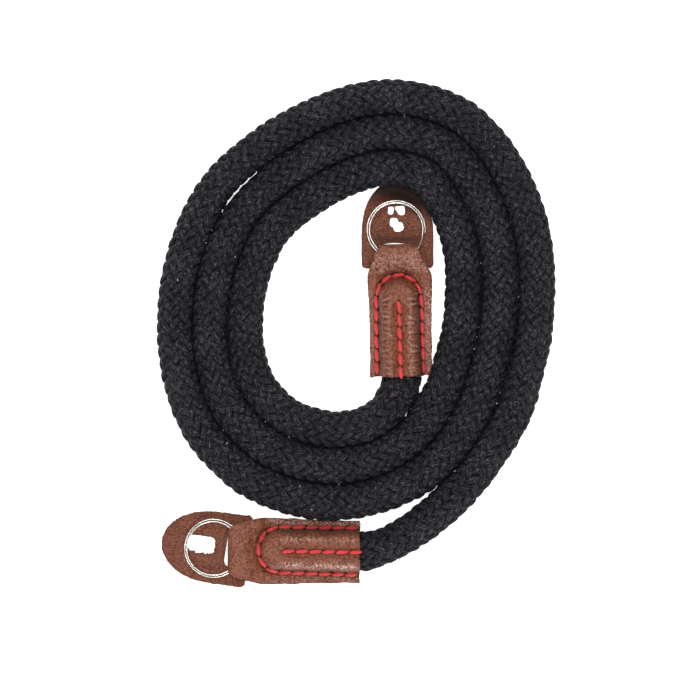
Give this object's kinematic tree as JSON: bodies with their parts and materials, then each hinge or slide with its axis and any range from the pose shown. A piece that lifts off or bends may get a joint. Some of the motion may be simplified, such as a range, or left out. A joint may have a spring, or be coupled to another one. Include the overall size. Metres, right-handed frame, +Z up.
{
  "type": "coiled camera strap",
  "caption": "Round braided camera strap lying coiled flat, with stitched leather ends, split rings and leather lug pads.",
  "frame": {"origin": "middle of the bounding box, on the surface that the strap lies on", "axes": "+Z up from the surface; +Y towards the top of the coil as seen from above, along its longer side"},
  "size_m": [0.1186, 0.1516, 0.0103],
  "materials": {
    "rope": "black braided yarn, matt",
    "leather": "pebbled brown leather, satin",
    "suede": "rough side of brown leather, matt",
    "ring": "polished"
  },
  "bodies": {
    "root": {"rope": "rope", "leather_end_outer": "leather", "leather_end_inner": "leather", "split_ring_outer": "ring", "split_ring_inner": "ring", "lug_pad_outer": "suede", "lug_pad_inner": "suede"}
  },
  "joints": []
}
